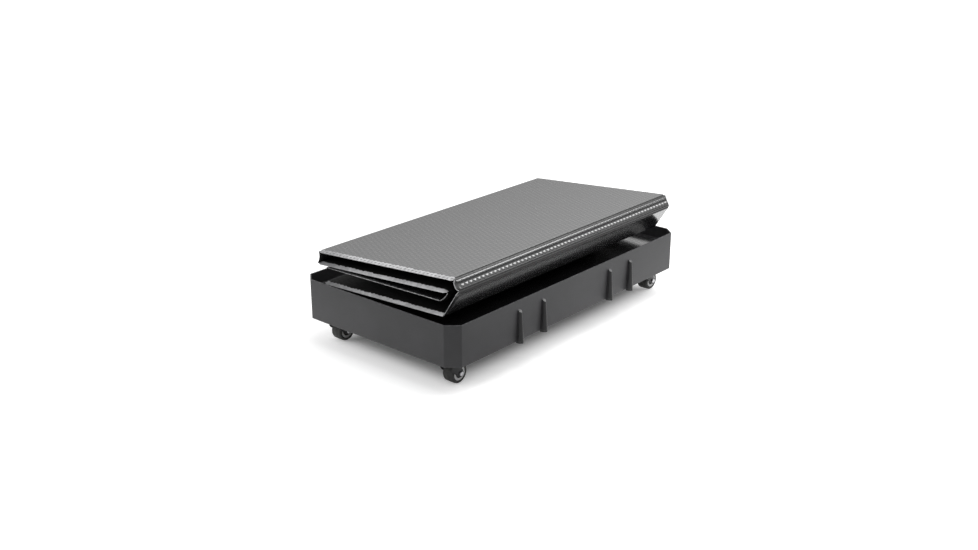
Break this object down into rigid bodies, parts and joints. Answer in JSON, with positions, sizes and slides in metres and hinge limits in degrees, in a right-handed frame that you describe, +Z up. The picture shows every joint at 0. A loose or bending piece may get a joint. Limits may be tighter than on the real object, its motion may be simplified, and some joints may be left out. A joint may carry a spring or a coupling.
{
  "type": "mechanics creeper",
  "caption": "Low rolling tray with a raised lip, side ribs and swivel casters, carrying a creased fold-out board mat for lying and working on the floor.",
  "frame": {"origin": "on the floor, under the middle of the tray", "axes": "+X along the tray towards its front end, +Z up; -Y is the right-hand long side, where the mat's tall spine is"},
  "size_m": [0.9, 0.5278, 0.2753],
  "materials": {
    "tray_plastic": "fine grained charcoal moulding",
    "mat_board": "black hollow polypropylene board, satin, finely textured",
    "zinc_steel": "zinc plated",
    "fork_steel": "black lacquer",
    "hub_plastic": "light grey moulding",
    "tyre_rubber": "matt rubber"
  },
  "bodies": {
    "tray": {"tray_shell": "tray_plastic", "front_left_caster_plate": "zinc_steel", "front_left_swivel_race": "zinc_steel", "front_left_kingpin": "zinc_steel", "front_right_caster_plate": "zinc_steel", "front_right_swivel_race": "zinc_steel", "front_right_kingpin": "zinc_steel", "rear_left_caster_plate": "zinc_steel", "rear_left_swivel_race": "zinc_steel", "rear_left_kingpin": "zinc_steel", "rear_right_caster_plate": "zinc_steel", "rear_right_swivel_race": "zinc_steel", "rear_right_kingpin": "zinc_steel"},
    "front_left_swivel": {"front_left_fork": "fork_steel", "front_left_axle": "zinc_steel"},
    "front_left_wheel": {"front_left_hub": "hub_plastic", "front_left_tyre": "tyre_rubber"},
    "front_right_swivel": {"front_right_fork": "fork_steel", "front_right_axle": "zinc_steel"},
    "front_right_wheel": {"front_right_hub": "hub_plastic", "front_right_tyre": "tyre_rubber"},
    "rear_left_swivel": {"rear_left_fork": "fork_steel", "rear_left_axle": "zinc_steel"},
    "rear_left_wheel": {"rear_left_hub": "hub_plastic", "rear_left_tyre": "tyre_rubber"},
    "rear_right_swivel": {"rear_right_fork": "fork_steel", "rear_right_axle": "zinc_steel"},
    "rear_right_wheel": {"rear_right_hub": "hub_plastic", "rear_right_tyre": "tyre_rubber"},
    "base_panel": {"mat_base_panel": "mat_board"},
    "lower_gusset": {"mat_lower_gusset": "mat_board"},
    "middle_panel": {"mat_middle_panel": "mat_board"},
    "spine_lower": {"mat_spine_lower": "mat_board"},
    "spine_upper": {"mat_spine_upper": "mat_board"},
    "top_panel": {"mat_top_panel": "mat_board"},
    "inner_gusset": {"mat_inner_gusset": "mat_board"},
    "inner_panel": {"mat_inner_panel": "mat_board"},
    "hairpin_gusset": {"mat_hairpin_gusset": "mat_board"},
    "end_panel": {"mat_end_panel": "mat_board"}
  },
  "joints": [
    {"name": "mat_lift", "type": "slide", "parent": "tray", "child": "base_panel", "axis": [0, 0, 1], "range_m": [0, 0.25]},
    {"name": "lower_fold", "type": "hinge", "parent": "base_panel", "child": "lower_gusset", "pos_m": [-0.0025, 0.195, 0.1405], "axis": [-1, 0, 0], "range_deg": [0, 28]},
    {"name": "lower_gusset_fold", "type": "hinge", "parent": "lower_gusset", "child": "middle_panel", "pos_m": [-0.0025, 0.195, 0.1609], "axis": [-1, 0, 0], "range_deg": [0, 28]},
    {"name": "spine_fold", "type": "hinge", "parent": "middle_panel", "child": "spine_lower", "pos_m": [-0.0025, -0.199, 0.1806], "axis": [1, 0, 0], "range_deg": [0, 54.7]},
    {"name": "spine_knee_fold", "type": "hinge", "parent": "spine_lower", "child": "spine_upper", "pos_m": [-0.0025, -0.2413, 0.2473], "axis": [1, 0, 0], "range_deg": [0, 59]},
    {"name": "spine_head_fold", "type": "hinge", "parent": "spine_upper", "child": "top_panel", "pos_m": [-0.0025, -0.2284, 0.273], "axis": [1, 0, 0], "range_deg": [0, 67.9]},
    {"name": "inner_fold", "type": "hinge", "parent": "top_panel", "child": "inner_gusset", "pos_m": [-0.0025, 0.2102, 0.238], "axis": [1, 0, 0], "range_deg": [-1.6, 1.5]},
    {"name": "inner_gusset_fold", "type": "hinge", "parent": "inner_gusset", "child": "inner_panel", "pos_m": [-0.0025, 0.2163, 0.2071], "axis": [1, 0, 0], "range_deg": [-1.6, 1.5]},
    {"name": "hairpin_fold", "type": "hinge", "parent": "inner_panel", "child": "hairpin_gusset", "pos_m": [-0.0025, -0.2128, 0.2388], "axis": [-1, 0, 0], "range_deg": [0, 2]},
    {"name": "hairpin_gusset_fold", "type": "hinge", "parent": "hairpin_gusset", "child": "end_panel", "pos_m": [-0.0025, -0.1872, 0.2132], "axis": [-1, 0, 0], "range_deg": [0, 2]},
    {"name": "front_left_swivel_turn", "type": "hinge", "parent": "tray", "child": "front_left_swivel", "pos_m": [0.395, 0.1877, 0], "axis": [0, 0, 1], "continuous": true},
    {"name": "front_left_wheel_roll", "type": "hinge", "parent": "front_left_swivel", "child": "front_left_wheel", "pos_m": [0.4096, 0.1877, 0.0254], "axis": [0, 1, 0], "continuous": true},
    {"name": "front_right_swivel_turn", "type": "hinge", "parent": "tray", "child": "front_right_swivel", "pos_m": [0.395, -0.1877, 0], "axis": [0, 0, 1], "continuous": true},
    {"name": "front_right_wheel_roll", "type": "hinge", "parent": "front_right_swivel", "child": "front_right_wheel", "pos_m": [0.4096, -0.1877, 0.0254], "axis": [0, 1, 0], "continuous": true},
    {"name": "rear_left_swivel_turn", "type": "hinge", "parent": "tray", "child": "rear_left_swivel", "pos_m": [-0.395, 0.1877, 0], "axis": [0, 0, 1], "continuous": true},
    {"name": "rear_left_wheel_roll", "type": "hinge", "parent": "rear_left_swivel", "child": "rear_left_wheel", "pos_m": [-0.3804, 0.1877, 0.0254], "axis": [0, 1, 0], "continuous": true},
    {"name": "rear_right_swivel_turn", "type": "hinge", "parent": "tray", "child": "rear_right_swivel", "pos_m": [-0.395, -0.1877, 0], "axis": [0, 0, 1], "continuous": true},
    {"name": "rear_right_wheel_roll", "type": "hinge", "parent": "rear_right_swivel", "child": "rear_right_wheel", "pos_m": [-0.3804, -0.1877, 0.0254], "axis": [0, 1, 0], "continuous": true}
  ],
  "couplings": [
    {"joint": "lower_gusset_fold", "follows": "lower_fold", "ratio": 1},
    {"joint": "spine_knee_fold", "follows": "spine_fold", "ratio": 1.0782},
    {"joint": "spine_head_fold", "follows": "spine_fold", "ratio": 1.2402},
    {"joint": "inner_gusset_fold", "follows": "inner_fold", "ratio": 1},
    {"joint": "hairpin_gusset_fold", "follows": "hairpin_fold", "ratio": 1}
  ]
}
